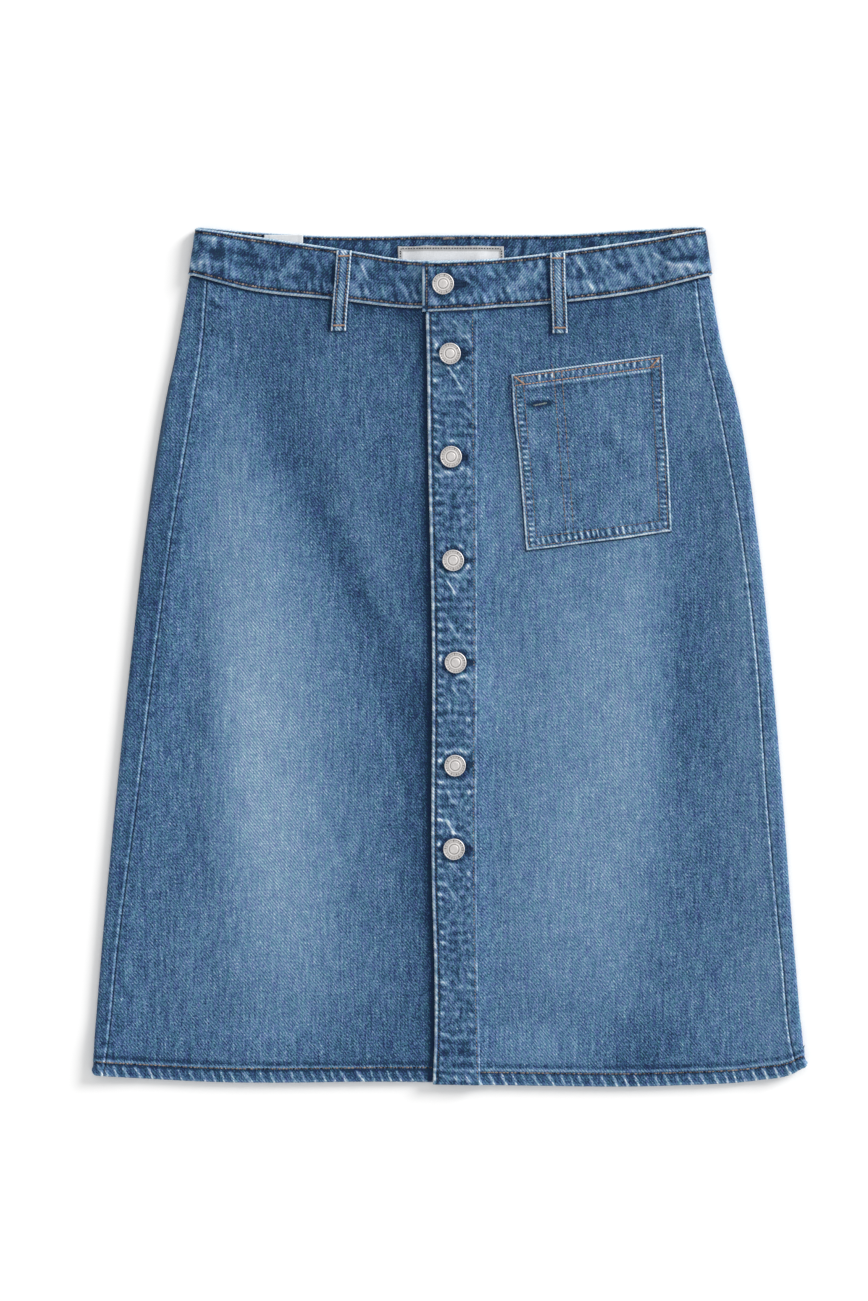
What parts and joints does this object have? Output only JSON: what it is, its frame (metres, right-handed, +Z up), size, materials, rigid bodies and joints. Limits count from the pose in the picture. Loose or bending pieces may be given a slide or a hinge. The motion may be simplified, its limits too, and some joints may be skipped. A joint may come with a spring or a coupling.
{
  "type": "denim skirt",
  "caption": "Button-front denim skirt with a belt-looped waistband and one patch pocket, laid flat on its back.",
  "frame": {"origin": "middle of the laid skirt's outline, on the surface it lies on", "axes": "+X to the viewer's right of the laid skirt, +Y from hem to waist, +Z up from the surface through the front"},
  "size_m": [0.5544, 0.6665, 0.0137],
  "materials": {
    "denim": "washed mid-blue cotton twill",
    "label": "woven, blank",
    "button_metal": "warm nickel, satin",
    "thread": "copper and dark brown topstitching thread"
  },
  "bodies": {
    "root": {"back_panel": "denim", "front_left_panel": "denim", "front_right_panel": "denim", "button_placket": "denim", "waistband": "denim", "patch_pocket": "denim", "belt_loop_front_left": "denim", "belt_loop_front_right": "denim", "belt_loop_back_left": "denim", "belt_loop_back": "denim", "belt_loop_back_right": "denim", "main_label": "label", "side_label": "label", "button_1": "button_metal", "button_2": "button_metal", "button_3": "button_metal", "button_4": "button_metal", "button_5": "button_metal", "button_6": "button_metal", "button_7": "button_metal"}
  },
  "joints": []
}
